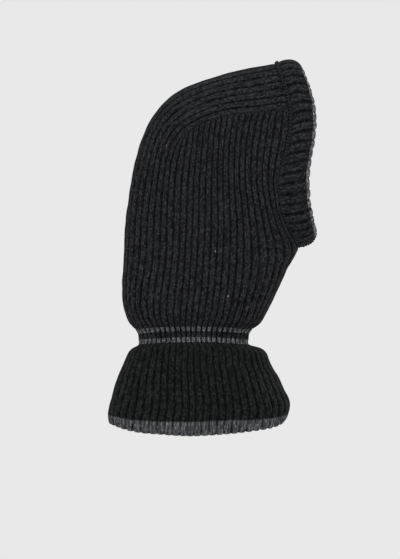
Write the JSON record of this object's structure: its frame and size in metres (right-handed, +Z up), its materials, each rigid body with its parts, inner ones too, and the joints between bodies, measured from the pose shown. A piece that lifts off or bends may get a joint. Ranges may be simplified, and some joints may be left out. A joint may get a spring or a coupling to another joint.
{
  "type": "balaclava",
  "caption": "Rib-knit balaclava with a doubled face band, a joined crown strip, a drawn-in striped neck and a flared collar with a contrast hem.",
  "frame": {"origin": "inside the top of the crown on the neck's axis, where the head carries the knit", "axes": "+Z up along the neck's axis, face towards -Y, wearer's right towards -X"},
  "size_m": [0.1508, 0.2215, 0.3978],
  "materials": {
    "charcoal_rib": "matte marled wool-blend rib knit",
    "band_rib": "matte marled wool-blend rib knit",
    "collar_rib": "matte marled wool-blend rib knit",
    "grey_yarn": "matte mid-grey yarn",
    "seam_yarn": "matte linked yarn",
    "elastic_thread": "covered elastic thread",
    "label_satin": "woven satin, blank"
  },
  "bodies": {
    "hood": {"crown_strip": "charcoal_rib", "nape_panel": "charcoal_rib", "side_panel_left": "charcoal_rib", "side_panel_right": "charcoal_rib", "crown_seam_left": "seam_yarn", "crown_seam_right": "seam_yarn", "chin_seam": "seam_yarn", "face_band_outer": "band_rib", "face_band_facing": "band_rib", "face_band_tipping": "grey_yarn", "face_band_seam": "seam_yarn", "face_band_join": "seam_yarn"},
    "neck": {"neck_stripe_upper": "grey_yarn", "neck_rib_band": "charcoal_rib", "neck_stripe_lower": "grey_yarn", "neck_elastic": "elastic_thread"},
    "collar": {"neck_gather": "collar_rib", "collar_flare": "collar_rib", "hem_tipping": "grey_yarn", "hem_bind_off": "grey_yarn", "collar_seam": "seam_yarn", "care_label": "label_satin"}
  },
  "joints": [
    {"name": "neck_turn", "type": "hinge", "parent": "hood", "child": "neck", "pos_m": [0, 0, -0.25355], "axis": [0, 0, 1], "range_deg": [-35, 35], "stiffness_Nm_per_rad": 0.05},
    {"name": "neck_nod", "type": "hinge", "parent": "neck", "child": "collar", "pos_m": [0, 0, -0.2694], "axis": [1, 0, 0], "range_deg": [-20, 20], "stiffness_Nm_per_rad": 0.2, "deforming": ["neck_gather"]}
  ]
}
